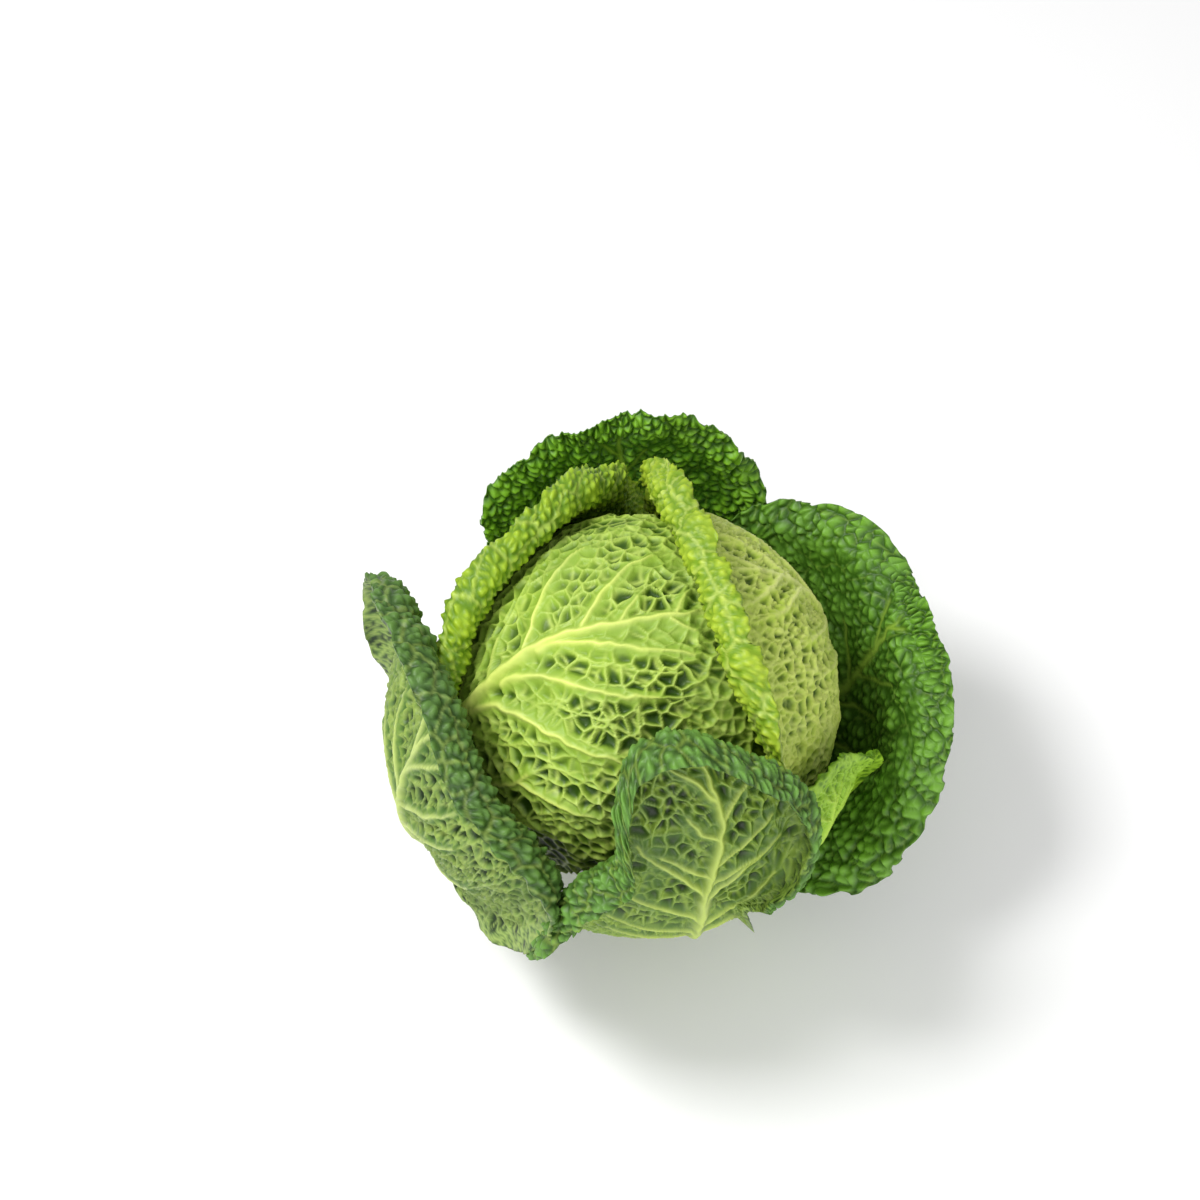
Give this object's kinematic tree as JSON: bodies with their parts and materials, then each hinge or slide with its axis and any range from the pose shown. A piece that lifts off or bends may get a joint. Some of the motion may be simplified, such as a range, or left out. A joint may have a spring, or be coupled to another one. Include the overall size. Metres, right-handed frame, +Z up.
{
  "type": "savoy cabbage",
  "caption": "Whole savoy cabbage standing on its cut stem: a round closed head in wrapper leaves with rolled rims, and open crinkled outer leaves around it.",
  "frame": {"origin": "centre of the cut face of the stem, which the cabbage stands on", "axes": "+Z up along the stem, -Y towards the front, where the head shows between the leaves, +X to the right as seen from the front"},
  "size_m": [0.2449, 0.2316, 0.1967],
  "materials": {
    "stem": "fresh cut pale green stem, matte and slightly moist",
    "head_leaf": "pale yellow-green leaf with raised pale veins, soft sheen",
    "wrapper_leaf": "bright yellow-green crinkled leaf, soft sheen",
    "outer_leaf": "dark blue-green blistered leaf with pale veins, soft waxy sheen"
  },
  "bodies": {
    "root": {"stem": "stem", "head": "head_leaf", "head_leaf": "head_leaf", "wrapper_right": "wrapper_leaf", "wrapper_left": "wrapper_leaf", "outer_front_right": "outer_leaf", "outer_front": "outer_leaf", "outer_right": "outer_leaf", "outer_back": "outer_leaf", "outer_left": "outer_leaf"}
  },
  "joints": []
}
